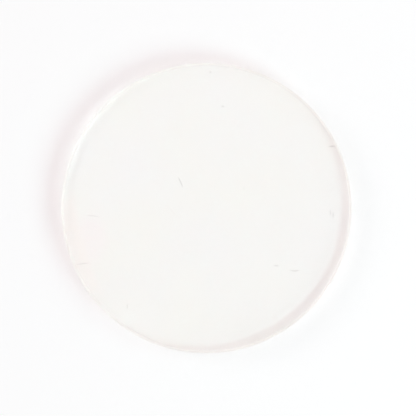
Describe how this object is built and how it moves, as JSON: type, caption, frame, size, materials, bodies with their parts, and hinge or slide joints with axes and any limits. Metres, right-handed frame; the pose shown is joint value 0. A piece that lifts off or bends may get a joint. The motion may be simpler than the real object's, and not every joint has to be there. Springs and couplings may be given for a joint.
{
  "type": "watch crystal",
  "caption": "Flat round watch crystal of clear mineral glass with polished faces, narrow bevels and a fine-ground edge that presses into a watch case or bezel.",
  "frame": {"origin": "centre of the inner face, which seats on the case's ledge", "axes": "+Z square to the faces, out of the watch towards the wearer; the disc is round about Z, so +X and +Y lie anywhere in the inner face"},
  "size_m": [0.035, 0.035, 0.0015],
  "materials": {
    "mineral_glass": "faces polished clear, edge and bevels fine-ground to a satin"
  },
  "bodies": {
    "root": {"crystal": "mineral_glass"}
  },
  "joints": []
}
